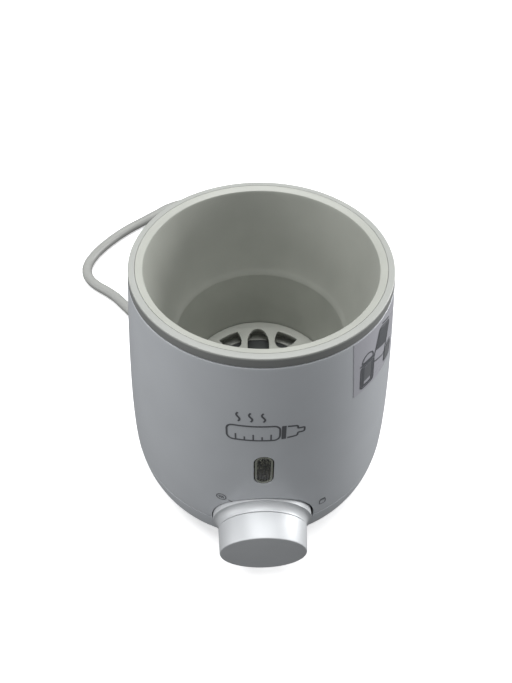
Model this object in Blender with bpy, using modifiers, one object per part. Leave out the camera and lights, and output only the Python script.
"""Electric baby bottle warmer with its mains lead, as an assembly of separate parts.

Units are metres and +Z is up. The warmer stands on its rubber feet at z = 0, its control knob faces -Y, and
the origin is the middle of the rectangle that the warmer covers on the table, its lead left out.
"""
import math

import bmesh
import bpy
from mathutils import Matrix, Vector

# ---- driving dimensions ----------------------------------------------------------------------------------
GAP = 0.0003                 # clearance between pieces that touch
OVERRUN = 0.0010             # how far a cutting tool reaches past the piece it cuts
LONG_OVERRUN = 0.0050
SLIDE = 0.0004               # radial clearance of a turning piece

RIM_HEIGHT = 0.152           # top of the rim above the table
RIM_RADIUS = 0.0575
BELLY_RADIUS = 0.0732        # widest ring of the housing
BELLY_HEIGHT = 0.034         # where the shell and the base cover meet
SHELL_POWER = 1.3            # how fast the shell swells from the rim to the belly
SHELL_WALL = 0.0024
BASE_WALL = 0.0024
BASE_EDGE = 0.0023           # width of the slant between the base cover's side and its flat underside
BASE_POWER = 2.7             # roundness of the base cover's side
BASE_DEPTH = 0.0511          # depth at which the base cover's curve would close
BASE_UNDERSIDE = 0.0015
BASE_FLOOR = 0.0052
BASE_EDGE_HEIGHT = 0.0010
BASE_FLOOR_SLOPE = 0.0040    # height of the slant between the base cover's floor and its side

RIM_BAND_HEIGHT = 0.0044
RIM_RING_WIDTH = 0.0029
RIM_SEAM_RADIUS = RIM_RADIUS - RIM_RING_WIDTH    # seam between the rim ring and the water chamber
RIM_EDGE = 0.0005
MOUTH_LAND = 0.00315         # flat top of the chamber, between its mouth and the seam
MOUTH_RADIUS = RIM_SEAM_RADIUS - MOUTH_LAND
MOUTH_DROP = 0.0012
MOUTH_CHAMFER = 0.0006
CHAMBER_FLOOR_HEIGHT = 0.0657
CHAMBER_FLOOR_RADIUS = 0.04075
CHAMBER_DRAFT = 0.00215      # how much wider the well is at its step than at its floor
CHAMBER_STEP_RADIUS = CHAMBER_FLOOR_RADIUS + CHAMBER_DRAFT
WELL_DEPTH = 0.0382          # from the step down to the floor
CHAMBER_STEP_HEIGHT = CHAMBER_FLOOR_HEIGHT + WELL_DEPTH
CHAMBER_STEP = 0.0005
FUNNEL_POWER = 0.75          # how the funnel turns in towards its step
CHAMBER_WALL = 0.0022
COLLAR_HEIGHT = 0.0055       # chamber collar that the shell's top edge closes round
COLLAR_SLOPE = 0.0025        # height of the slant from the collar to the funnel's wall
SHELL_COLLAR_DROP = 0.0030   # how far the shell's inner collar reaches below the chamber's
SHELL_COLLAR_SLOPE = 0.0020
GRILLE_THICKNESS = 0.0022
LEDGE_WIDTH = 0.0021
LIP_WIDTH = 0.00675
LIP_RADIUS = CHAMBER_FLOOR_RADIUS - LIP_WIDTH    # hole in the chamber's bottom lip
LIP_DROP = 0.0091            # from the chamber's floor down to its lip
LIP_TOP = CHAMBER_FLOOR_HEIGHT - LIP_DROP
LIP_THICKNESS = 0.0022
FLANGE_WIDTH = 0.00925
FLANGE_RADIUS = CHAMBER_FLOOR_RADIUS + FLANGE_WIDTH
FLANGE_DEPTH = 0.0052
FLANGE_BOTTOM = LIP_TOP - FLANGE_DEPTH
BOSS_DEPTH = 0.0045          # screw holes in the chamber's flange
BOSS_BITE = 0.0040           # how far a screw reaches into its hole

WINDOW_MARGIN = 0.00575
WINDOW_RING = CHAMBER_FLOOR_RADIUS - WINDOW_MARGIN    # outer ends of the grille's windows
WINDOW_WIDTH = 0.0126
WINDOW_INNER = 0.0130        # inner end of the two radial windows
WINDOW_TIP = 0.0110          # length of their narrowing outer ends
D_WINDOW_DEPTH = 0.0108
D_WINDOW_ANGLE = 31.0        # degrees from the front-to-back line
WINDOW_SIDES = 12            # straight pieces in each half round of a window

SHEET = 0.0013               # heating plate's thickness
PLATE_EDGE = 0.0010
PLATE_INNER_EDGE = 0.0005
PLATE_RISE = 0.0019          # the plate's top stands above the lip
PLATE_TOP = LIP_TOP + PLATE_RISE
PLATE_CLEARANCE = 0.0012     # between the plate's raised middle and the lip
PLATE_FLANGE_WIDTH = 0.0060
PLATE_FLANGE = LIP_RADIUS + PLATE_FLANGE_WIDTH
PLATE_LAND_CLEARANCE = 0.0010
CLAMP_THICKNESS = 0.0015
CLAMP_OVERLAP = 0.0010       # the clamp ring reaches in under the plate's flange, past the lip
FASTENER_INSET = 0.0045
FASTENER_CIRCLE = FLANGE_RADIUS - FASTENER_INSET
CLAMP_ANGLES = (45.0, 135.0, 225.0, 315.0)
POST_ANGLES = (90.0, 210.0, 330.0)
POST_RADIUS = 0.0042
SCREW_SHANK = 0.0015
SCREW_HEAD = 0.0029
SCREW_HEAD_HEIGHT = 0.0018
SCREW_HEAD_TAPER = 0.8       # a head's flat end as a share of its radius
SCREW_WELL_TOP = 0.0040      # where the long screws' heads seat in the base cover

ELEMENT_CIRCLE = 0.0220
ELEMENT_TUBE = 0.0030
ELEMENT_GAP_ANGLE = 50.0     # degrees left open between the element's ends
ELEMENT_TERMINAL_DROP = 0.0110
ELEMENT_TERMINAL_HEIGHT = PLATE_TOP - ELEMENT_TERMINAL_DROP
ELEMENT_END_ANGLE = 6.0      # degrees between the element's ring and its downward ends
ELEMENT_END_DROP = 0.0035
FUSE_RADIUS = 0.0020
FUSE_LENGTH = 0.0120
FUSE_Y = 0.0040
SENSOR_RADIUS = 0.0025
SENSOR_LENGTH = 0.0220
SENSOR_X = 0.0115
CAPILLARY_RADIUS = 0.0007
CAPILLARY_BEND = [(0.0, 0.0010, 0.0), (-0.0002, 0.0024, -0.0012), (-0.0010, 0.0020, -0.0064)]
CAPILLARY_ROUTE = [(0.0085, 0.0080, 0.0450), (0.0030, -0.0040, 0.0430), (0.0, -0.0160, 0.0415)]
CAPILLARY_END_HEIGHT = 0.0405

KNOB_HEIGHT = 0.0353         # height of the knob's axis
KNOB_PROJECTION = 0.01497
KNOB_FRONT = BELLY_RADIUS + KNOB_PROJECTION      # knob face, measured forward from the warmer's axis
KNOB_LENGTH = 0.01237
KNOB_REAR = KNOB_FRONT - KNOB_LENGTH
KNOB_REAR_RADIUS = 0.0227
KNOB_TAPER = 0.0010
KNOB_FRONT_RADIUS = KNOB_REAR_RADIUS - KNOB_TAPER
KNOB_WALL = 0.0021
KNOB_HOLE_DEPTH = 0.0232     # how far the hole's tool reaches in from the belly
KNOB_EDGE = 0.0004
SKIRT_FLARE = 0.0028
SKIRT_RADIUS = KNOB_REAR_RADIUS + SKIRT_FLARE
FLARE_LENGTH = 0.0045
FLARE_STEPS = 4
SKIRT_LENGTH = 0.0048
SKIRT_EDGE = KNOB_REAR - FLARE_LENGTH            # where the flare is widest
SKIRT_REAR = SKIRT_EDGE - SKIRT_LENGTH
SKIRT_WEB = 0.0022
SKIRT_NECK_STEP = 0.0003     # the skirt's neck is this much slimmer than the cap
KNOB_CLEARANCE = 0.0007
KNOB_HOLE_RADIUS = SKIRT_RADIUS + KNOB_CLEARANCE
HUB_WALL = 0.0035
SHAFT_RADIUS = 0.0030
HUB_RADIUS = SHAFT_RADIUS + HUB_WALL
SHAFT_FLAT_CUT = 0.0012
SHAFT_FLAT = SHAFT_RADIUS - SHAFT_FLAT_CUT       # distance of the D flat from the shaft's axis
SHAFT_FLAT_LENGTH = 0.0130
SHAFT_SET_BACK = 0.00417     # how far the shaft stops behind the knob's face
SHAFT_END = KNOB_FRONT - SHAFT_SET_BACK
SHAFT_LENGTH = 0.0460
SHAFT_INNER_END = SHAFT_END - SHAFT_LENGTH
SOCKET_END_CLEARANCE = 0.0020

SHAFT_IN_THERMOSTAT = 0.0069
THERMOSTAT_FACE = SHAFT_INNER_END + SHAFT_IN_THERMOSTAT    # forward from the warmer's axis
THERMOSTAT_WIDTH = 0.0280
THERMOSTAT_DEPTH = 0.0180
THERMOSTAT_HEIGHT = 0.0230
THERMOSTAT_DROP = 0.0128     # from the knob's axis down to the thermostat's underside
THERMOSTAT_BOTTOM = KNOB_HEIGHT - THERMOSTAT_DROP
THERMOSTAT_EDGE = 0.0010
BUSH_WALL = 0.0018
BUSH_RADIUS = SHAFT_RADIUS + BUSH_WALL
BUSH_LENGTH = 0.0080
NUT_WALL = 0.0027
NUT_RADIUS = BUSH_RADIUS + NUT_WALL
NUT_THICKNESS = 0.0025
BRACKET_SHEET = 0.0015
BRACKET_HALF_WIDTH = 0.0170
BRACKET_RISE = 0.0087        # from the knob's axis up to the bracket's top
BRACKET_TOP = KNOB_HEIGHT + BRACKET_RISE
BRACKET_FOOT_LIFT = 0.0008
BRACKET_FOOT_Z = BASE_FLOOR + BRACKET_FOOT_LIFT
BRACKET_FOOT_LENGTH = 0.0240
BRACKET_SCREW_X = 0.0110
BRACKET_SCREW_INSET = 0.0060
PILOT_BOTTOM = 0.0026        # blind end of the screw holes in the base cover's floor
PILOT_SCREW_TIP = 0.0030

LENS_WIDTH = 0.0086
LENS_HEIGHT = 0.0203
LENS_CENTRE_Z = 0.0846
LENS_THICKNESS = 0.0020
LENS_SET_BACK = 0.0004
WINDOW_TOOL_DEPTH = 0.0300   # depth of the outline that cuts the window and gives the lens its edge
LAMP_RADIUS = 0.0028
LAMP_SET_BACK = 0.0010
LAMP_SEAT = 0.0020           # wall of the holder behind the lamp
HOLDER_CLEARANCE = 0.0024    # between the lens and the lamp holder
HOLDER_REAR_ROOM = 0.00508   # between the lamp holder and the chamber's wall
HOLDER_WIDTH = 0.0130
HOLDER_HEIGHT = 0.0120

FOOT_RADIUS = 0.0062
FOOT_RECESS = 0.0018
FOOT_EDGE = 0.0006
FOOT_CIRCLE = 0.0520
FOOT_ANGLES = (45.0, 135.0, 225.0, 315.0)

CORD_RADIUS = 0.0039
EXIT_ANGLE = 131.5           # degrees round from +X, seen from above
EXIT_CLEARANCE = 0.0019
EXIT_HEIGHT = BASE_FLOOR + CORD_RADIUS + EXIT_CLEARANCE
GLAND_INNER_LENGTH = 0.0099  # strain relief inside the base cover's side
GLAND_NECK_LENGTH = 0.0036   # its straight neck outside
GLAND_OUTER_LENGTH = 0.0241
GLAND_WALL = 0.0019
GLAND_RADIUS = CORD_RADIUS + GLAND_WALL
GLAND_TIP_WALL = 0.0009
GLAND_TIP_RADIUS = CORD_RADIUS + GLAND_TIP_WALL
INNER_LEAD_LENGTH = 0.0197
TERMINAL_SIZE = (0.0220, 0.0120, 0.0090)
TERMINAL_CENTRE = (-0.0150, 0.0160)
CLAMP_BAR_SET_BACK = 0.0110  # cord clamp, inside the strain relief's inner end
CLAMP_BAR_SIZE = (0.0260, 0.0070, 0.0030)
CLAMP_BAR_SCREW = 0.0090     # its screws, to each side of the lead
WIRE_RADIUS = 0.0010
WIRE_LIFT = 0.0005           # between the terminal block and the wires over it
WIRE_SPACING = 0.0040
TERMINAL_PITCH = 0.0070      # from the middle terminal to the outer ones
THERMOSTAT_TAB = 0.0020      # the wires end this far behind the thermostat
ELEMENT_TAB = 0.0015         # and this far below the element's ends
EARTH_TAB = 0.0016           # and this far below the clamp ring
EARTH_END = (0.0049, 155.74)          # distance out from the lip's edge, and bearing
LIVE_RISE = (0.0100, -0.0060, 0.0060)
LIVE_MIDDLE = (-0.0040, -0.0100, 0.0240)
LIVE_END = (-0.0060, 0.0290)
NEUTRAL_RISE = (-0.0020, -0.0080, 0.0100)
NEUTRAL_MIDDLE = (-0.0200, -0.0080, 0.0380)
SWITCHED_START = (0.0040, 0.0300)
SWITCHED_MIDDLE = (0.0120, -0.0180, 0.0340)
SWITCHED_BEND = (0.0020, 0.0040, 0.0400)
EARTH_RISE = (-0.0120, -0.0020, 0.0100)
EARTH_MIDDLE = (-0.0330, 0.0140, 0.0400)
LAMP_WIRE_RADIUS = 0.0007
LAMP_WIRE_SPACING = 0.0050
LAMP_WIRE_START = (0.0030, 0.0011)    # sideways from the lamp's axis, and behind its holder
LAMP_WIRE_WELL = (0.00613, 11.77, 0.0780)      # distance out from the well, bearing from the front, height
LAMP_WIRE_FLANGE = [(0.00571, 21.04, 0.0660), (0.00504, 24.70, 0.0500)]    # the same, out from the flange
LAMP_WIRE_BEND = (0.0200, 0.0069, 0.0340)      # sideways, behind the thermostat's face, height
LAMP_WIRE_END = (0.0010, 0.0109, 0.0300)       # out from the thermostat's side, behind its face, height

COIL_CENTRE = (-0.0080, 0.2050)
COIL_MIDDLE = 0.0401         # radius at the middle of the turns, which lie two wide and two high
COIL_SLACK = 0.0001
COIL_HALF = 2 * CORD_RADIUS + COIL_SLACK
COIL_INNER = COIL_MIDDLE - COIL_HALF
COIL_OUTER = COIL_MIDDLE + COIL_HALF
COIL_BOTTOM = 0.0012
COIL_HEIGHT = 2 * COIL_HALF
TIE_ANGLE = 250.0
TIE_WIDTH = 0.0100
TIE_SHEET = 0.0008
TIE_SLACK = 0.0007

PLUG_X = 0.0520
PLUG_FACE_Y = 0.1000
PLUG_AXIS_Z = 0.0188
PLUG_RADIUS = 0.0185
PLUG_LENGTH = 0.0380
PLUG_BOOT_END = 0.0580
PLUG_BOOT_WALL = 0.0009
PLUG_BOOT_ROOT = (0.0068, 0.0400)     # radius, and distance from the plug's face
PLUG_NECK_RADIUS = 0.0100
PLUG_SHOULDER = (0.0145, 0.0250)
PLUG_GRIP_LENGTH = 0.0140
PLUG_EDGE = 0.0008
CLIP_GROOVE_DEPTH = 0.0022
PIN_RADIUS = 0.0024
PIN_LENGTH = 0.0190
PIN_SPACING = 0.0190
PIN_TIP = 0.0010
CORD_SPACING = 0.0095
PLUG_LEAD_SPACING = 0.0080
EARTH_CLIP = (0.0060, 0.0160, 0.0010)

ROUND = 48                   # sides of the large turned parts
SMALL_ROUND = 24
TINY_ROUND = 12

# The rectangle under the warmer runs from the knob's face to the back of the belly.
AXIS_Y = (KNOB_FRONT - BELLY_RADIUS) / 2

# The lead's own points, from the strain relief to the coil and from the coil to the plug.
LEAD_ROUTE = [
    (-0.0680, 0.0769, 0.0104), (-0.0760, 0.0859, 0.0078), (-0.0840, 0.0950, 0.0053),
    (-0.0940, 0.1063, 0.0042), (-0.1043, 0.1179, 0.0041), (-0.1122, 0.1266, 0.0041),
    (-0.1204, 0.1336, 0.0041), (-0.1290, 0.1400, 0.0041), (-0.1363, 0.1473, 0.0041),
    (-0.1409, 0.1565, 0.0041), (-0.1418, 0.1665, 0.0041), (-0.1390, 0.1780, 0.0041),
    (-0.1342, 0.1883, 0.0041), (-0.1282, 0.1980, 0.0041), (-0.1207, 0.2082, 0.0041),
    (-0.1123, 0.2176, 0.0041), (-0.1015, 0.2278, 0.0041), (-0.0905, 0.2385, 0.0041),
    (-0.0795, 0.2490, 0.0041), (-0.0650, 0.2560, 0.0041), (-0.0470, 0.2575, 0.0042),
    (-0.0285, 0.2542, 0.0046),
]
PLUG_ROUTE = [
    (0.0427, 0.1895, 0.0130), (0.0460, 0.1815, 0.0140), (0.0493, 0.1735, 0.0162),
    (0.0514, 0.1680, 0.0179), (0.0520, 0.1625, 0.0188),
]

NO_TURN = (0.0, 0.0, 0.0)
FORWARD = (math.pi / 2, 0.0, 0.0)        # turns local +Z to face the front of the warmer
OUTWARD = Matrix.Rotation(math.radians(EXIT_ANGLE), 3, "Z") @ Matrix.Rotation(math.pi / 2, 3, "Y")


# ---- helpers ---------------------------------------------------------------------------------------------
def clear_scene():
    """Empty the scene, then make the two collections and the empty that everything hangs from."""
    for old in list(bpy.data.objects):
        bpy.data.objects.remove(old, do_unlink=True)
    for name in ("bottle_warmer", "cutters"):
        collection = bpy.data.collections.new(name)
        bpy.context.scene.collection.children.link(collection)
    centre = bpy.data.objects.new("warmer_axis", None)
    centre.location = (0.0, AXIS_Y, 0.0)
    bpy.data.collections["bottle_warmer"].objects.link(centre)
    return centre


CENTRE = clear_scene()


def finish(name, color, roughness, metallic=0.0, alpha=1.0):
    """Make one Principled material."""
    made = bpy.data.materials.new(name)
    made.use_nodes = True
    shader = made.node_tree.nodes["Principled BSDF"]
    shader.inputs["Base Color"].default_value = (*color, 1.0)
    shader.inputs["Roughness"].default_value = roughness
    shader.inputs["Metallic"].default_value = metallic
    shader.inputs["Alpha"].default_value = alpha
    return made


WHITE = finish("white_plastic", (0.62, 0.63, 0.66), 0.38)
GREY = finish("grey_plastic", (0.40, 0.41, 0.38), 0.42)
SILVER = finish("silver_plastic", (0.70, 0.71, 0.73), 0.30, 0.6)
BLACK = finish("black_plastic", (0.03, 0.03, 0.03), 0.5)
CREAM = finish("cream_plastic", (0.75, 0.72, 0.62), 0.5)
STEEL = finish("steel", (0.55, 0.56, 0.57), 0.35, 1.0)
DARK_STEEL = finish("coated_steel", (0.10, 0.10, 0.11), 0.45, 0.6)
BRASS = finish("brass", (0.72, 0.56, 0.28), 0.35, 1.0)
COPPER = finish("copper", (0.75, 0.42, 0.28), 0.35, 1.0)
SILICONE = finish("silicone", (0.70, 0.30, 0.22), 0.6)
RUBBER = finish("rubber", (0.05, 0.05, 0.05), 0.7)
LEAD_GREY = finish("lead_sheath", (0.45, 0.46, 0.44), 0.5)
CLEAR = finish("clear_plastic", (0.80, 0.82, 0.78), 0.1, 0.0, 0.4)
GLASS = finish("lamp_glass", (0.90, 0.55, 0.30), 0.1, 0.0, 0.6)
BROWN = finish("brown_sleeve", (0.22, 0.10, 0.04), 0.5)
BLUE = finish("blue_sleeve", (0.05, 0.15, 0.50), 0.5)
GREEN = finish("green_yellow_sleeve", (0.35, 0.55, 0.08), 0.5)
WHITE_WIRE = finish("white_sleeve", (0.75, 0.75, 0.72), 0.5)


def put(name, data, material, place=(0.0, 0.0, 0.0), turn=NO_TURN):
    """Link a new object into the warmer, placed from the warmer's axis."""
    made = bpy.data.objects.new(name, data)
    made.location = place
    made.rotation_euler = turn
    made.parent = CENTRE
    if material is not None:
        data.materials.append(material)
    bpy.data.collections["bottle_warmer"].objects.link(made)
    return made


def as_cutter(tool):
    """Turn an object into a hidden cutting tool."""
    bpy.data.collections["bottle_warmer"].objects.unlink(tool)
    bpy.data.collections["cutters"].objects.link(tool)
    tool.hide_render = True
    tool.display_type = "WIRE"
    return tool


def cut(target, tool, operation="DIFFERENCE"):
    """Apply one tool to a piece with an exact Boolean."""
    step = target.modifiers.new("cut_" + tool.name, "BOOLEAN")
    step.operation = operation
    step.object = tool
    step.solver = "EXACT"


def turned(name, profile, material, sides=ROUND, closed=True, place=(0.0, 0.0, 0.0), turn=NO_TURN):
    """Turn a profile of (radius, height) points about the local Z axis, outer side from top to bottom."""
    count = len(profile)
    edges = [(i, i + 1) for i in range(count - 1)]
    if closed:
        edges.append((count - 1, 0))
    mesh = bpy.data.meshes.new(name)
    mesh.from_pydata([(radius, 0.0, height) for radius, height in profile], edges, [])
    made = put(name, mesh, material, place, turn)
    screw = made.modifiers.new("turn", "SCREW")
    screw.axis = "Z"
    screw.steps = sides
    screw.render_steps = sides
    screw.use_merge_vertices = True
    screw.merge_threshold = 0.00001
    screw.use_smooth_shade = True
    return made


def rod(name, radius, low, high, material, sides=SMALL_ROUND, place=(0.0, 0.0, 0.0), turn=NO_TURN):
    """A solid cylinder along the local Z axis."""
    profile = [(0.0, high), (radius, high), (radius, low), (0.0, low)]
    return turned(name, profile, material, sides, False, place, turn)


def ring(name, inner, outer, low, high, material, sides=SMALL_ROUND, place=(0.0, 0.0, 0.0), turn=NO_TURN):
    """A plain ring with a rectangular section."""
    profile = [(outer, high), (outer, low), (inner, low), (inner, high)]
    return turned(name, profile, material, sides, True, place, turn)


def block(name, size, material, place, turn=NO_TURN):
    """A box of the given size about its own centre."""
    mesh = bpy.data.meshes.new(name)
    shape = bmesh.new()
    bmesh.ops.create_cube(shape, size=1.0)
    bmesh.ops.scale(shape, vec=size, verts=shape.verts)
    shape.to_mesh(mesh)
    shape.free()
    return put(name, mesh, material, place, turn)


def plate(name, outlines, thickness, material, place=(0.0, 0.0, 0.0), turn=NO_TURN):
    """A flat piece: the first outline is its edge, and any others are its holes."""
    drawing = bpy.data.curves.new(name + "_outline", "CURVE")
    drawing.dimensions = "2D"
    drawing.fill_mode = "BOTH"
    drawing.extrude = thickness / 2
    for outline in outlines:
        spline = drawing.splines.new("POLY")
        spline.points.add(len(outline) - 1)
        for point, (x, y) in zip(spline.points, outline):
            point.co = (x, y, 0.0, 1.0)
        spline.use_cyclic_u = True
    temporary = bpy.data.objects.new(name + "_outline", drawing)
    bpy.context.scene.collection.objects.link(temporary)
    graph = bpy.context.evaluated_depsgraph_get()
    mesh = bpy.data.meshes.new_from_object(temporary.evaluated_get(graph))
    bpy.data.objects.remove(temporary, do_unlink=True)
    shape = bmesh.new()
    shape.from_mesh(mesh)
    bmesh.ops.remove_doubles(shape, verts=shape.verts, dist=0.00001)
    bmesh.ops.recalc_face_normals(shape, faces=shape.faces)
    shape.to_mesh(mesh)
    shape.free()
    mesh.name = name
    return put(name, mesh, material, place, turn)


def tube(name, points, radius, material, detail=2):
    """A round tube along a list of points."""
    path = bpy.data.curves.new(name, "CURVE")
    path.dimensions = "3D"
    path.bevel_depth = radius
    path.bevel_resolution = detail
    path.use_fill_caps = True
    path.resolution_u = 1
    path.render_resolution_u = 0
    spline = path.splines.new("POLY")
    spline.points.add(len(points) - 1)
    for point, place in zip(spline.points, points):
        point.co = (*place, 1.0)
    return put(name, path, material)


def smooth(points, spacing):
    """Read points at an even spacing from a smooth curve that runs through the given ones."""
    knots = [Vector(p) for p in points]
    knots = [knots[0] * 2 - knots[1]] + knots + [knots[-1] * 2 - knots[-2]]
    fine = []
    parts = 24
    for i in range(1, len(knots) - 2):
        before, start, end, after = knots[i - 1:i + 3]
        for j in range(parts):
            t = j / parts
            bend = (before * 2 - start * 5 + end * 4 - after) * t * t
            twist = (start * 3 - before - end * 3 + after) * t * t * t
            fine.append((start * 2 + (end - before) * t + bend + twist) / 2)
    fine.append(knots[-2])
    total = sum((b - a).length for a, b in zip(fine, fine[1:]))
    count = max(2, round(total / spacing))
    wanted = [total * i / count for i in range(count + 1)]
    chosen = []
    gone = 0.0
    for a, b in zip(fine, fine[1:]):
        step = (b - a).length
        while wanted and wanted[0] <= gone + step:
            chosen.append(a.lerp(b, (wanted.pop(0) - gone) / step))
        gone += step
    if wanted:
        chosen.append(fine[-1])
    return [tuple(p) for p in chosen]


def circle(radius, sides, centre=(0.0, 0.0), start=0.0, sweep=360.0):
    """Points round a circle, or along an arc with both of its ends."""
    whole = sweep == 360.0
    steps = sides if whole else sides + 1
    angles = [math.radians(start + sweep * i / sides) for i in range(steps)]
    return [(centre[0] + radius * math.cos(a), centre[1] + radius * math.sin(a)) for a in angles]


def oblong(width, length, sides=8):
    """An upright oblong with round ends, about its own centre."""
    half = length / 2 - width / 2
    top = circle(width / 2, sides, (0.0, half), 0.0, 180.0)
    return top + circle(width / 2, sides, (0.0, -half), 180.0, 180.0)


def polar(radius, degrees, height=0.0):
    """A point at a distance and a bearing from the warmer's axis."""
    angle = math.radians(degrees)
    return (radius * math.cos(angle), radius * math.sin(angle), height)


def shell_radius(height):
    """Outer radius of the housing above the belly."""
    share = (height - BELLY_HEIGHT) / (RIM_HEIGHT - BELLY_HEIGHT)
    return BELLY_RADIUS - (BELLY_RADIUS - RIM_RADIUS) * share ** SHELL_POWER


def base_radius(height):
    """Outer radius of the base cover below the belly, where it tucks in towards the table."""
    share = (BELLY_HEIGHT - height) / BASE_DEPTH
    return BELLY_RADIUS * (1 - share ** BASE_POWER) ** (1 / BASE_POWER)


EXIT_RADIUS = base_radius(EXIT_HEIGHT)
GLAND_START = EXIT_RADIUS - GLAND_INNER_LENGTH
GLAND_NECK_END = EXIT_RADIUS + GLAND_NECK_LENGTH
GLAND_END = EXIT_RADIUS + GLAND_OUTER_LENGTH
HOLDER_FRONT = shell_radius(LENS_CENTRE_Z) - LENS_SET_BACK - LENS_THICKNESS - HOLDER_CLEARANCE
HOLDER_DEPTH = HOLDER_FRONT - HOLDER_REAR_ROOM - CHAMBER_WALL - CHAMBER_STEP_RADIUS


def chamber_radius(height):
    """Inner radius of the water chamber above its step."""
    share = (height - CHAMBER_STEP_HEIGHT) / (RIM_HEIGHT - MOUTH_DROP - CHAMBER_STEP_HEIGHT)
    return CHAMBER_STEP_RADIUS + (MOUTH_RADIUS - CHAMBER_STEP_RADIUS) * share ** FUNNEL_POWER


def heights(top, bottom, steps):
    """Evenly spaced heights from top to bottom, both included."""
    return [top + (bottom - top) * i / steps for i in range(steps + 1)]


def screw_up(name, place, head_bottom, tip, shank=SCREW_SHANK, head=SCREW_HEAD):
    """A screw driven upwards, with its head below."""
    head_top = head_bottom + SCREW_HEAD_HEIGHT
    profile = [(0.0, tip), (shank, tip - shank / 2), (shank, head_top), (head, head_top)]
    profile += [(head * SCREW_HEAD_TAPER, head_bottom), (0.0, head_bottom)]
    return turned(name, profile, STEEL, TINY_ROUND, False, (place[0], place[1], 0.0))


def screw_down(name, place, head_bottom, tip, shank=SCREW_SHANK, head=SCREW_HEAD):
    """A screw driven downwards, with its head above."""
    head_top = head_bottom + SCREW_HEAD_HEIGHT
    profile = [(0.0, head_top), (head * SCREW_HEAD_TAPER, head_top)]
    profile += [(head, head_bottom), (shank, head_bottom)]
    profile += [(shank, tip + shank / 2), (0.0, tip)]
    return turned(name, profile, STEEL, TINY_ROUND, False, (place[0], place[1], 0.0))


# ---- housing ---------------------------------------------------------------------------------------------
def knob_hole_tool(name):
    """The round hole for the knob, which runs into both halves of the housing."""
    inside = BELLY_RADIUS - KNOB_HOLE_DEPTH
    tool = rod(name, KNOB_HOLE_RADIUS, inside, KNOB_FRONT, None, ROUND, (0.0, 0.0, KNOB_HEIGHT), FORWARD)
    return as_cutter(tool)


def make_shell():
    """The white outer shell, with the knob's hole and the indicator's window."""
    top = RIM_HEIGHT - RIM_BAND_HEIGHT - GAP
    bottom = BELLY_HEIGHT + GAP
    collar_bottom = RIM_HEIGHT - COLLAR_HEIGHT - SHELL_COLLAR_DROP
    outer = [(shell_radius(z), z) for z in heights(top, bottom, 7)]
    inner_top = collar_bottom - SHELL_COLLAR_SLOPE
    inner = [(shell_radius(z) - SHELL_WALL, z) for z in heights(bottom, inner_top, 4)]
    collar = [(RIM_SEAM_RADIUS + GAP, collar_bottom), (RIM_SEAM_RADIUS + GAP, top)]
    shell = turned("outer_shell", outer + inner + collar, WHITE)
    cut(shell, knob_hole_tool("knob_hole_upper"))
    window = oblong(LENS_WIDTH + 2 * GAP, LENS_HEIGHT + 2 * GAP)
    place = (0.0, -BELLY_RADIUS, LENS_CENTRE_Z)
    cut(shell, as_cutter(plate("window_hole", [window], WINDOW_TOOL_DEPTH, None, place, FORWARD)))
    return shell


def make_base():
    """The base cover: a shallow bowl that closes the housing from below."""
    top = BELLY_HEIGHT - GAP
    outer = [(base_radius(z), z) for z in heights(top, BASE_UNDERSIDE + BASE_EDGE_HEIGHT, 6)]
    foot = base_radius(BASE_UNDERSIDE) - BASE_EDGE
    under = [(foot, BASE_UNDERSIDE), (0.0, BASE_UNDERSIDE)]
    inner = [(base_radius(z) - BASE_WALL, z) for z in heights(BASE_FLOOR + BASE_FLOOR_SLOPE, top, 4)]
    floor = [(0.0, BASE_FLOOR), (foot - BASE_WALL, BASE_FLOOR)]
    profile = floor + inner + outer + under
    base = turned("base_cover", profile, WHITE, ROUND, False)
    cut(base, knob_hole_tool("knob_hole_lower"))
    way = rod("cord_hole", GLAND_RADIUS + GAP, GLAND_START - LONG_OVERRUN, GLAND_END, None, 24)
    way.rotation_euler = OUTWARD.to_euler()
    way.location = (0.0, 0.0, EXIT_HEIGHT)
    cut(base, as_cutter(way))
    for number, angle in enumerate(FOOT_ANGLES, 1):
        place = polar(FOOT_CIRCLE, angle)
        top_of_recess = BASE_UNDERSIDE + FOOT_RECESS
        tool = rod(f"foot_recess_{number}", FOOT_RADIUS + GAP, -OVERRUN, top_of_recess, None, 24, place)
        cut(base, as_cutter(tool))
    for number, angle in enumerate(POST_ANGLES, 1):
        place = polar(FASTENER_CIRCLE, angle)
        head = SCREW_HEAD + 2 * GAP
        shank = SCREW_SHANK + 2 * GAP
        above = BASE_FLOOR + LONG_OVERRUN
        profile = [(0.0, above), (shank, above), (shank, SCREW_WELL_TOP), (head, SCREW_WELL_TOP)]
        profile += [(head, 0.0), (0.0, 0.0)]
        tool = turned(f"screw_well_{number}", profile, None, TINY_ROUND, False, place)
        cut(base, as_cutter(tool))
    return base


def make_rim():
    """The grey trim ring round the mouth."""
    low = RIM_HEIGHT - RIM_BAND_HEIGHT
    seam = RIM_SEAM_RADIUS + GAP
    profile = [(RIM_RADIUS - RIM_EDGE, RIM_HEIGHT), (RIM_RADIUS, RIM_HEIGHT - RIM_EDGE)]
    profile += [(shell_radius(low), low), (seam, low), (seam, RIM_HEIGHT)]
    return turned("rim_ring", profile, GREY)


def make_feet():
    """Four rubber feet, each set into a recess under the base cover."""
    for number, angle in enumerate(FOOT_ANGLES, 1):
        top = BASE_UNDERSIDE + FOOT_RECESS - GAP
        profile = [(0.0, top), (FOOT_RADIUS, top), (FOOT_RADIUS, FOOT_EDGE), (FOOT_RADIUS - FOOT_EDGE, 0.0)]
        profile.append((0.0, 0.0))
        turned(f"rubber_foot_{number}", profile, RUBBER, 20, False, polar(FOOT_CIRCLE, angle))


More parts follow.
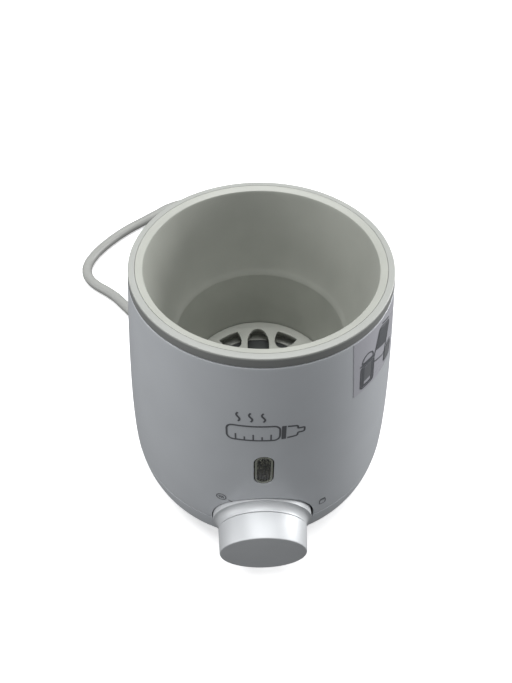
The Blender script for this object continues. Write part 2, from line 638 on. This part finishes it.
def make_posts():
    """Three spacer posts with the long screws that pull the base cover and the chamber together."""
    post_top = FLANGE_BOTTOM - CLAMP_THICKNESS - 2 * GAP
    for number, angle in enumerate(POST_ANGLES, 1):
        place = polar(FASTENER_CIRCLE, angle)
        bore, foot = SCREW_SHANK + GAP, BASE_FLOOR + GAP
        ring(f"support_post_{number}", bore, POST_RADIUS, foot, post_top, WHITE, TINY_ROUND, place)
        head_bottom = SCREW_WELL_TOP - GAP - SCREW_HEAD_HEIGHT
        screw_up(f"long_screw_{number}", place, head_bottom, FLANGE_BOTTOM + BOSS_BITE)


# ---- water chamber and heater ----------------------------------------------------------------------------
def make_chamber():
    """The grey water chamber: mouth, funnel, step, well and the bottom lip that carries the heater."""
    seam = RIM_SEAM_RADIUS
    mouth_z = RIM_HEIGHT - MOUTH_DROP
    ledge_z = CHAMBER_FLOOR_HEIGHT - GRILLE_THICKNESS - GAP
    step_z = CHAMBER_STEP_HEIGHT
    funnel_top = RIM_HEIGHT - COLLAR_HEIGHT - COLLAR_SLOPE
    wall = CHAMBER_WALL
    outside = [(seam, RIM_HEIGHT), (seam, RIM_HEIGHT - COLLAR_HEIGHT)]
    outside += [(chamber_radius(z) + wall, z) for z in heights(funnel_top, step_z, 4)]
    outside.append((CHAMBER_FLOOR_RADIUS + wall, ledge_z))
    outside += [(CHAMBER_FLOOR_RADIUS + wall, LIP_TOP + GAP), (FLANGE_RADIUS, LIP_TOP + GAP)]
    outside += [(FLANGE_RADIUS, FLANGE_BOTTOM)]
    land = PLATE_FLANGE + PLATE_LAND_CLEARANCE
    lip_bottom = LIP_TOP - LIP_THICKNESS
    under = [(land, FLANGE_BOTTOM), (land, lip_bottom), (LIP_RADIUS, lip_bottom)]
    ledge = CHAMBER_FLOOR_RADIUS - LEDGE_WIDTH
    inside = [(LIP_RADIUS, LIP_TOP), (ledge, LIP_TOP), (ledge, ledge_z), (CHAMBER_FLOOR_RADIUS, ledge_z)]
    inside.append((CHAMBER_STEP_RADIUS - CHAMBER_STEP, step_z - MOUTH_CHAMFER))
    inside += [(chamber_radius(z), z) for z in heights(step_z, mouth_z - 2 * MOUTH_CHAMFER, 6)]
    inside.append((MOUTH_RADIUS + MOUTH_CHAMFER, mouth_z))
    chamber = turned("water_chamber", outside + under + inside, GREY)
    for number, angle in enumerate(CLAMP_ANGLES + POST_ANGLES, 1):
        place = polar(FASTENER_CIRCLE, angle)
        hole = SCREW_SHANK + GAP
        top = FLANGE_BOTTOM + BOSS_DEPTH
        tool = rod(f"boss_hole_{number}", hole, FLANGE_BOTTOM - OVERRUN, top, None, TINY_ROUND, place)
        cut(chamber, as_cutter(tool))
    return chamber


def radial_window(side):
    """A window along the front-to-back line, round towards the centre and narrowing to its outer end."""
    half = WINDOW_WIDTH / 2
    turns = [math.pi * i / WINDOW_SIDES for i in range(WINDOW_SIDES + 1)]
    tip = [(half * math.cos(a), WINDOW_RING - WINDOW_TIP * (1 - math.sin(a))) for a in turns]
    root = [(-half * math.cos(a), WINDOW_INNER + half * (1 - math.sin(a))) for a in turns]
    return [(side * x, side * y) for x, y in tip + root]


def d_window(angle):
    """A window with a straight outer side on the window ring and a deep round belly towards the centre."""
    half = WINDOW_WIDTH / 2
    points = []
    for i in range(WINDOW_SIDES + 1):
        turn_angle = math.pi + math.pi * i / WINDOW_SIDES
        points.append((half * math.cos(turn_angle), D_WINDOW_DEPTH * math.sin(turn_angle)))
    chord = math.sqrt(WINDOW_RING ** 2 - half ** 2)
    bearing = math.radians(angle - 90.0)
    across, along = math.cos(bearing), math.sin(bearing)
    placed = []
    for x, y in points:
        out = chord + y
        placed.append((x * across - out * along, x * along + out * across))
    edge = math.degrees(math.asin(half / WINDOW_RING))
    arc = circle(WINDOW_RING, 4, (0.0, 0.0), angle - edge, 2 * edge)
    return placed + arc[1:-1]


def make_grille():
    """The slotted disc that the bottle stands on."""
    low = CHAMBER_FLOOR_HEIGHT - GRILLE_THICKNESS
    grille = rod("floor_grille", CHAMBER_FLOOR_RADIUS - GAP, low, CHAMBER_FLOOR_HEIGHT, GREY, 48)
    middle = (0.0, 0.0, low)
    for number, side in enumerate((1, -1), 1):
        slot = plate(f"radial_window_{number}", [radial_window(side)], 4 * GRILLE_THICKNESS, None, middle)
        cut(grille, as_cutter(slot))
    number = 1
    for base_angle in (90.0, 270.0):
        for side in (1, -1):
            outline = d_window(base_angle + side * D_WINDOW_ANGLE)
            slot = plate(f"d_window_{number}", [outline], 4 * GRILLE_THICKNESS, None, middle)
            cut(grille, as_cutter(slot))
            number += 1
    return grille


def make_heater():
    """The dished heating plate with its gasket, clamp ring, element, fuse and sensor."""
    flange_top = FLANGE_BOTTOM + SHEET
    raised = LIP_RADIUS - PLATE_CLEARANCE
    hollow, under = raised - SHEET, PLATE_TOP - SHEET
    profile = [(0.0, PLATE_TOP), (raised - PLATE_EDGE, PLATE_TOP), (raised, PLATE_TOP - PLATE_EDGE)]
    profile += [(raised, flange_top), (PLATE_FLANGE, flange_top), (PLATE_FLANGE, FLANGE_BOTTOM)]
    profile += [(hollow, FLANGE_BOTTOM), (hollow, under - PLATE_INNER_EDGE)]
    profile += [(hollow - PLATE_INNER_EDGE, under), (0.0, under)]
    turned("heating_plate", profile, DARK_STEEL, 40, False)
    gasket_top = LIP_TOP - LIP_THICKNESS - GAP
    ring("plate_gasket", LIP_RADIUS, PLATE_FLANGE, flange_top + GAP, gasket_top, SILICONE, 40)
    clamp_top = FLANGE_BOTTOM - GAP
    centres = [polar(FASTENER_CIRCLE, angle)[:2] for angle in CLAMP_ANGLES + POST_ANGLES]
    holes = [circle(SCREW_SHANK + GAP, TINY_ROUND, centre) for centre in centres]
    edges = [circle(FLANGE_RADIUS, 48), circle(LIP_RADIUS - CLAMP_OVERLAP, 40)]
    place = (0.0, 0.0, clamp_top - CLAMP_THICKNESS / 2)
    plate("plate_clamp", edges + holes, CLAMP_THICKNESS, STEEL, place)
    for number, angle in enumerate(CLAMP_ANGLES, 1):
        head_bottom = clamp_top - CLAMP_THICKNESS - GAP - SCREW_HEAD_HEIGHT
        place = polar(FASTENER_CIRCLE, angle)
        screw_up(f"clamp_screw_{number}", place, head_bottom, FLANGE_BOTTOM + BOSS_BITE)
    element_z = under - GAP - ELEMENT_TUBE
    start = 270.0 + ELEMENT_GAP_ANGLE / 2
    sweep = 360.0 - ELEMENT_GAP_ANGLE
    arc = [(x, y, element_z) for x, y in circle(ELEMENT_CIRCLE, 22, (0.0, 0.0), start, sweep)]
    bend_z = element_z - ELEMENT_END_DROP
    first = polar(ELEMENT_CIRCLE, start - ELEMENT_END_ANGLE, bend_z)
    last = polar(ELEMENT_CIRCLE, start + sweep + ELEMENT_END_ANGLE, bend_z)
    first_end = (first[0], first[1], ELEMENT_TERMINAL_HEIGHT)
    last_end = (last[0], last[1], ELEMENT_TERMINAL_HEIGHT)
    tube("heating_element", [first_end, first] + arc + [last, last_end], ELEMENT_TUBE, STEEL)
    half = FUSE_LENGTH / 2
    fuse_place = (0.0, FUSE_Y, under - GAP - FUSE_RADIUS)
    rod("thermal_fuse", FUSE_RADIUS, -half, half, CREAM, TINY_ROUND, fuse_place, FORWARD)
    half = SENSOR_LENGTH / 2
    sensor_z = under - GAP - SENSOR_RADIUS
    rod("sensor_bulb", SENSOR_RADIUS, -half, half, COPPER, TINY_ROUND, (SENSOR_X, 0.0, sensor_z), FORWARD)
    capillary = [(SENSOR_X + x, half + y, sensor_z + z) for x, y, z in CAPILLARY_BEND] + CAPILLARY_ROUTE
    capillary.append((0.0, THERMOSTAT_DEPTH + GAP - THERMOSTAT_FACE, CAPILLARY_END_HEIGHT))
    tube("capillary_tube", smooth(capillary, WIRE_SPACING), CAPILLARY_RADIUS, COPPER, 1)


# ---- control ---------------------------------------------------------------------------------------------
def make_thermostat():
    """The thermostat behind the knob, on its steel bracket."""
    middle_y = -THERMOSTAT_FACE + THERMOSTAT_DEPTH / 2
    size = (THERMOSTAT_WIDTH, THERMOSTAT_DEPTH, THERMOSTAT_HEIGHT)
    place = (0.0, middle_y, THERMOSTAT_BOTTOM + THERMOSTAT_HEIGHT / 2)
    body = block("thermostat_body", size, BLACK, place)
    bevel = body.modifiers.new("edges", "BEVEL")
    bevel.width = THERMOSTAT_EDGE
    bevel.segments = 2
    on_axis = (0.0, 0.0, KNOB_HEIGHT)
    bore = SHAFT_RADIUS + SLIDE
    socket_end = SHAFT_INNER_END - SOCKET_END_CLEARANCE
    mouth = THERMOSTAT_FACE + LONG_OVERRUN
    cut(body, as_cutter(rod("shaft_socket", bore, socket_end, mouth, None, 20, on_axis, FORWARD)))
    bush_start = THERMOSTAT_FACE + GAP
    bush_end = bush_start + BUSH_LENGTH
    ring("thermostat_bush", bore, BUSH_RADIUS, bush_start, bush_end, BRASS, 24, on_axis, FORWARD)
    sheet_front = bush_start + GAP + BRACKET_SHEET
    nut_back = sheet_front + GAP
    nut = circle(NUT_RADIUS, 6)
    nut_hole = circle(BUSH_RADIUS + GAP, 24)
    place = (0.0, -(nut_back + NUT_THICKNESS / 2), KNOB_HEIGHT)
    plate("thermostat_nut", [nut, nut_hole], NUT_THICKNESS, BRASS, place, FORWARD)
    front = -sheet_front
    back = front + BRACKET_FOOT_LENGTH
    foot_top = BRACKET_FOOT_Z + BRACKET_SHEET
    profile = [(front, BRACKET_FOOT_Z), (back, BRACKET_FOOT_Z), (back, foot_top)]
    profile += [(front + BRACKET_SHEET, foot_top), (front + BRACKET_SHEET, BRACKET_TOP), (front, BRACKET_TOP)]
    upright = (math.pi / 2, 0.0, math.pi / 2)
    centre = (0.0, 0.0, 0.0)
    bracket = plate("thermostat_bracket", [profile], 2 * BRACKET_HALF_WIDTH, STEEL, centre, upright)
    bush_hole = rod("bush_hole", BUSH_RADIUS + GAP, THERMOSTAT_FACE, bush_end, None, 24, on_axis, FORWARD)
    cut(bracket, as_cutter(bush_hole))
    for number, side in enumerate((-1, 1), 1):
        place = (side * BRACKET_SCREW_X, back - BRACKET_SCREW_INSET, 0.0)
        hole = SCREW_SHANK + GAP
        above = foot_top + SCREW_HEAD_HEIGHT
        tool = rod(f"bracket_hole_{number}", hole, PILOT_BOTTOM, above, None, TINY_ROUND, place)
        cut(bracket, as_cutter(tool))
        cut(bpy.data.objects["base_cover"], tool)
        screw_down(f"bracket_screw_{number}", place, foot_top + GAP, PILOT_SCREW_TIP)


def shaft_outline(clearance):
    """The D-shaped section of the shaft's end, grown by a clearance."""
    radius = SHAFT_RADIUS + clearance
    flat = SHAFT_FLAT + clearance
    start = math.degrees(math.asin(flat / radius))
    return circle(radius, 20, (0.0, 0.0), 180.0 - start, 180.0 + 2 * start)


def make_knob():
    """The control knob in two pieces, a cap and a flared skirt, on the thermostat's shaft."""
    on_axis = (0.0, 0.0, KNOB_HEIGHT)
    shaft_low = SHAFT_INNER_END
    flat_start = SHAFT_END - SHAFT_FLAT_LENGTH
    shaft = rod("control_shaft", SHAFT_RADIUS, shaft_low, SHAFT_END, STEEL, 24, on_axis, FORWARD)
    width = 4 * SHAFT_RADIUS
    length = 2 * SHAFT_FLAT_LENGTH
    place = (0.0, -(flat_start + length / 2), KNOB_HEIGHT + SHAFT_FLAT + width / 2)
    flat_tool = block("shaft_flat", (width, width, length), None, place, FORWARD)
    cut(shaft, as_cutter(flat_tool))
    hub_back = SKIRT_REAR
    inner_front = KNOB_FRONT - KNOB_WALL
    profile = [(0.0, KNOB_FRONT), (KNOB_FRONT_RADIUS - KNOB_EDGE, KNOB_FRONT)]
    profile += [(KNOB_FRONT_RADIUS, KNOB_FRONT - KNOB_EDGE)]
    profile += [(KNOB_REAR_RADIUS, KNOB_REAR), (KNOB_REAR_RADIUS - KNOB_WALL, KNOB_REAR)]
    profile += [(KNOB_FRONT_RADIUS - KNOB_WALL, inner_front), (HUB_RADIUS, inner_front)]
    profile.append((HUB_RADIUS, hub_back))
    profile += [(0.0, hub_back)]
    cap = turned("knob_cap", profile, SILVER, 36, False, on_axis, FORWARD)
    bore_depth = SHAFT_END + GAP
    bore_back = hub_back - SKIRT_WEB
    place = (0.0, -(bore_back + bore_depth) / 2, KNOB_HEIGHT)
    outline = shaft_outline(GAP)
    cut(cap, as_cutter(plate("knob_bore", [outline], bore_depth - bore_back, None, place, FORWARD)))
    round_end = flat_start + GAP
    bore = SHAFT_RADIUS + GAP
    cut(cap, as_cutter(rod("knob_bore_round", bore, bore_back, round_end, None, 24, on_axis, FORWARD)))
    flare = []
    neck = KNOB_REAR_RADIUS - SKIRT_NECK_STEP
    front = KNOB_REAR - GAP
    for i in range(FLARE_STEPS + 1):
        angle = math.pi / 2 * i / FLARE_STEPS
        radius = neck + (SKIRT_RADIUS - neck) * (1 - math.cos(angle))
        flare.append((radius, front - (front - SKIRT_EDGE) * math.sin(angle)))
    web = SKIRT_REAR + SKIRT_WEB
    inner = KNOB_REAR_RADIUS - KNOB_WALL
    bore = HUB_RADIUS + GAP
    bottom = [(SKIRT_RADIUS, SKIRT_REAR), (bore, SKIRT_REAR), (bore, web), (inner, web)]
    turned("knob_skirt", flare + bottom + [(inner, front)], SILVER, 36, True, on_axis, FORWARD)


# ---- indicator -------------------------------------------------------------------------------------------
def make_indicator():
    """The clear lens in the shell's window, with the neon lamp and its holder behind it."""
    place = (0.0, -BELLY_RADIUS, LENS_CENTRE_Z)
    edge = oblong(LENS_WIDTH, LENS_HEIGHT)
    lens = plate("indicator_lens", [edge], WINDOW_TOOL_DEPTH, CLEAR, place, FORWARD)
    span = heights(LENS_CENTRE_Z + LENS_HEIGHT, LENS_CENTRE_Z - LENS_HEIGHT, 4)
    outer = [(shell_radius(z) - LENS_SET_BACK, z) for z in span]
    inner = [(shell_radius(z) - LENS_SET_BACK - LENS_THICKNESS, z) for z in reversed(span)]
    cut(lens, as_cutter(turned("lens_layer", outer + inner, None, 96)), "INTERSECT")
    lamp_front = HOLDER_FRONT - LAMP_SET_BACK
    place = (0.0, 0.0, LENS_CENTRE_Z)
    low = HOLDER_FRONT - HOLDER_DEPTH + LAMP_SEAT
    rod("indicator_lamp", LAMP_RADIUS, low, lamp_front, GLASS, 20, place, FORWARD)
    holder_place = (0.0, -(HOLDER_FRONT - HOLDER_DEPTH / 2), LENS_CENTRE_Z)
    holder = block("lamp_holder", (HOLDER_WIDTH, HOLDER_DEPTH, HOLDER_HEIGHT), BLACK, holder_place)
    bore = rod("lamp_bore", LAMP_RADIUS + GAP, low - GAP, BELLY_RADIUS, None, 24, place, FORWARD)
    cut(holder, as_cutter(bore))


# ---- wiring inside the base ------------------------------------------------------------------------------
def make_wiring():
    """The lead's inner end, its clamp, the terminal block and the wires."""
    lead_start = polar(GLAND_START - GAP, EXIT_ANGLE, EXIT_HEIGHT)
    lead_end = polar(GLAND_START - GAP - INNER_LEAD_LENGTH, EXIT_ANGLE, EXIT_HEIGHT)
    tube("inner_lead", [lead_start, lead_end], CORD_RADIUS, LEAD_GREY)
    bar_turn = (0.0, 0.0, math.radians(EXIT_ANGLE + 90.0))
    bar_low = EXIT_HEIGHT + CORD_RADIUS + GAP
    bar_top = bar_low + CLAMP_BAR_SIZE[2]
    bar_place = polar(GLAND_START - CLAMP_BAR_SET_BACK, EXIT_ANGLE, (bar_low + bar_top) / 2)
    bar = block("cord_clamp", CLAMP_BAR_SIZE, BLACK, bar_place, bar_turn)
    across = math.radians(EXIT_ANGLE + 90.0)
    base = bpy.data.objects["base_cover"]
    for number, side in enumerate((-1, 1), 1):
        x = bar_place[0] + side * CLAMP_BAR_SCREW * math.cos(across)
        y = bar_place[1] + side * CLAMP_BAR_SCREW * math.sin(across)
        hole = SCREW_SHANK + GAP
        above = bar_top + SCREW_HEAD_HEIGHT
        tool = rod(f"clamp_bar_hole_{number}", hole, PILOT_BOTTOM, above, None, TINY_ROUND, (x, y, 0.0))
        cut(bar, as_cutter(tool))
        cut(base, tool)
        screw_down(f"cord_clamp_screw_{number}", (x, y), bar_top + GAP, PILOT_SCREW_TIP)
    height = TERMINAL_SIZE[2]
    terminal_top = BASE_FLOOR + GAP + height
    place = (TERMINAL_CENTRE[0], TERMINAL_CENTRE[1], BASE_FLOOR + GAP + height / 2)
    block("terminal_block", TERMINAL_SIZE, CREAM, place)
    above = terminal_top + WIRE_RADIUS + WIRE_LIFT
    x, y = TERMINAL_CENTRE
    terminal = Vector((x, y, above))
    tab_y = THERMOSTAT_DEPTH - THERMOSTAT_FACE + THERMOSTAT_TAB
    live = [(x + TERMINAL_PITCH, y, above), terminal + Vector(LIVE_RISE), LIVE_MIDDLE]
    live.append((LIVE_END[0], tab_y, LIVE_END[1]))
    tube("live_wire", smooth(live, WIRE_SPACING), WIRE_RADIUS, BROWN, 1)
    start = 270.0 + ELEMENT_GAP_ANGLE / 2 - ELEMENT_END_ANGLE
    right_end = polar(ELEMENT_CIRCLE, start, ELEMENT_TERMINAL_HEIGHT - ELEMENT_TAB)
    left_end = (-right_end[0], right_end[1], right_end[2])
    neutral = [terminal, terminal + Vector(NEUTRAL_RISE), NEUTRAL_MIDDLE, left_end]
    tube("neutral_wire", smooth(neutral, WIRE_SPACING), WIRE_RADIUS, BLUE, 1)
    bend = (right_end[0] + SWITCHED_BEND[0], right_end[1] + SWITCHED_BEND[1], SWITCHED_BEND[2])
    switched = [(SWITCHED_START[0], tab_y, SWITCHED_START[1]), SWITCHED_MIDDLE, bend, right_end]
    tube("switched_wire", smooth(switched, WIRE_SPACING), WIRE_RADIUS, BROWN, 1)
    earth_end_z = FLANGE_BOTTOM - CLAMP_THICKNESS - GAP - EARTH_TAB
    earth = [(x - TERMINAL_PITCH, y, above), terminal + Vector(EARTH_RISE), EARTH_MIDDLE]
    earth.append(polar(LIP_RADIUS + EARTH_END[0], EARTH_END[1], earth_end_z))
    tube("earth_wire", smooth(earth, WIRE_SPACING), WIRE_RADIUS, GREEN, 1)
    make_lamp_wires()


def make_lamp_wires():
    """The two wires from the lamp, down past the chamber's flange to the thermostat's sides."""
    start_x, behind = LAMP_WIRE_START
    bends = [(CHAMBER_STEP_RADIUS + LAMP_WIRE_WELL[0], *LAMP_WIRE_WELL[1:])]
    bends += [(FLANGE_RADIUS + out, bearing, height) for out, bearing, height in LAMP_WIRE_FLANGE]
    bend_x, bend_behind, bend_z = LAMP_WIRE_BEND
    end_out, end_behind, end_z = LAMP_WIRE_END
    for number, side in enumerate((-1, 1), 1):
        route = [(side * start_x, HOLDER_DEPTH - HOLDER_FRONT + behind, LENS_CENTRE_Z)]
        route += [polar(radius, 270.0 + side * bearing, height) for radius, bearing, height in bends]
        route.append((side * bend_x, bend_behind - THERMOSTAT_FACE, bend_z))
        route.append((side * (THERMOSTAT_WIDTH / 2 + end_out), end_behind - THERMOSTAT_FACE, end_z))
        tube(f"lamp_wire_{number}", smooth(route, LAMP_WIRE_SPACING), LAMP_WIRE_RADIUS, WHITE_WIRE, 1)


# ---- mains lead ------------------------------------------------------------------------------------------
def make_gland():
    """The tapered strain relief where the lead leaves the base cover."""
    profile = [(0.0, GLAND_END), (GLAND_TIP_RADIUS, GLAND_END), (GLAND_RADIUS, GLAND_NECK_END)]
    profile += [(GLAND_RADIUS, GLAND_START), (0.0, GLAND_START)]
    gland = turned("cord_gland", profile, LEAD_GREY, 24, False)
    gland.rotation_euler = OUTWARD.to_euler()
    gland.location = (0.0, 0.0, EXIT_HEIGHT)


def make_lead():
    """The lead on the table, its coil with the tie, and the stretch to the plug."""
    start = polar(GLAND_END + GAP, EXIT_ANGLE, EXIT_HEIGHT)
    tube("mains_cord", smooth([start] + LEAD_ROUTE, CORD_SPACING), CORD_RADIUS, LEAD_GREY)
    boot = (PLUG_X, PLUG_FACE_Y + PLUG_BOOT_END + GAP, PLUG_AXIS_Z)
    tube("plug_lead", smooth(PLUG_ROUTE + [boot], PLUG_LEAD_SPACING), CORD_RADIUS, LEAD_GREY)
    top = COIL_BOTTOM + COIL_HEIGHT
    edge = CORD_RADIUS / 2
    profile = [(COIL_OUTER - edge, top), (COIL_OUTER, top - edge), (COIL_OUTER, COIL_BOTTOM + edge)]
    profile += [(COIL_OUTER - edge, COIL_BOTTOM), (COIL_INNER + edge, COIL_BOTTOM)]
    profile += [(COIL_INNER, COIL_BOTTOM + edge), (COIL_INNER, top - edge), (COIL_INNER + edge, top)]
    turned("cord_coil", profile, LEAD_GREY, 40, True, (*COIL_CENTRE, 0.0))
    inside = (COIL_HALF + TIE_SLACK, COIL_HALF + GAP)
    outside = (inside[0] + TIE_SHEET, inside[1] + TIE_SHEET)
    outlines = []
    for half_x, half_y in (outside, inside):
        outlines.append([(half_x, half_y), (-half_x, half_y), (-half_x, -half_y), (half_x, -half_y)])
    angle = math.radians(TIE_ANGLE)
    x = COIL_CENTRE[0] + COIL_MIDDLE * math.cos(angle)
    y = COIL_CENTRE[1] + COIL_MIDDLE * math.sin(angle)
    place = (x, y, COIL_BOTTOM + COIL_HALF)
    plate("cord_tie", outlines, TIE_WIDTH, BLACK, place, (math.pi / 2, 0.0, angle))


def make_plug():
    """The mains plug: a moulded body, two pins and two earth clips."""
    backward = (-math.pi / 2, 0.0, 0.0)
    on_axis = (PLUG_X, PLUG_FACE_Y, PLUG_AXIS_Z)
    boot = PLUG_BOOT_END
    profile = [(0.0, boot), (CORD_RADIUS + PLUG_BOOT_WALL, boot), PLUG_BOOT_ROOT]
    profile += [(PLUG_NECK_RADIUS, PLUG_LENGTH), PLUG_SHOULDER, (PLUG_RADIUS, PLUG_GRIP_LENGTH)]
    profile += [(PLUG_RADIUS, PLUG_EDGE), (PLUG_RADIUS - PLUG_EDGE, 0.0), (0.0, 0.0)]
    body = turned("plug_body", profile, LEAD_GREY, 36, False, on_axis, backward)
    width, length, sheet = EARTH_CLIP
    depth = CLIP_GROOVE_DEPTH
    for side, word in ((1, "top"), (-1, "bottom")):
        z = PLUG_AXIS_Z + side * (PLUG_RADIUS - depth / 2 + OVERRUN)
        size = (width + 4 * GAP, 2 * length + 4 * GAP, depth + 2 * OVERRUN)
        groove = block(f"clip_groove_{word}", size, None, (PLUG_X, PLUG_FACE_Y, z))
        cut(body, as_cutter(groove))
        clip_z = PLUG_AXIS_Z + side * (PLUG_RADIUS - depth + sheet / 2 + GAP)
        place = (PLUG_X, PLUG_FACE_Y + length / 2, clip_z)
        block(f"plug_earth_clip_{word}", EARTH_CLIP, BRASS, place)
    for side, word in ((-1, "left"), (1, "right")):
        place = (PLUG_X + side * PIN_SPACING / 2, PLUG_FACE_Y, PLUG_AXIS_Z)
        profile = [(0.0, -GAP), (PIN_RADIUS, -GAP), (PIN_RADIUS, PIN_TIP - PIN_LENGTH)]
        profile += [(PIN_RADIUS / 2, -PIN_LENGTH), (0.0, -PIN_LENGTH)]
        turned(f"plug_pin_{word}", profile, STEEL, 16, False, place, backward)


make_shell()
make_base()
make_rim()
make_feet()
make_posts()
make_chamber()
make_grille()
make_heater()
make_thermostat()
make_knob()
make_indicator()
make_wiring()
make_gland()
make_lead()
make_plug()
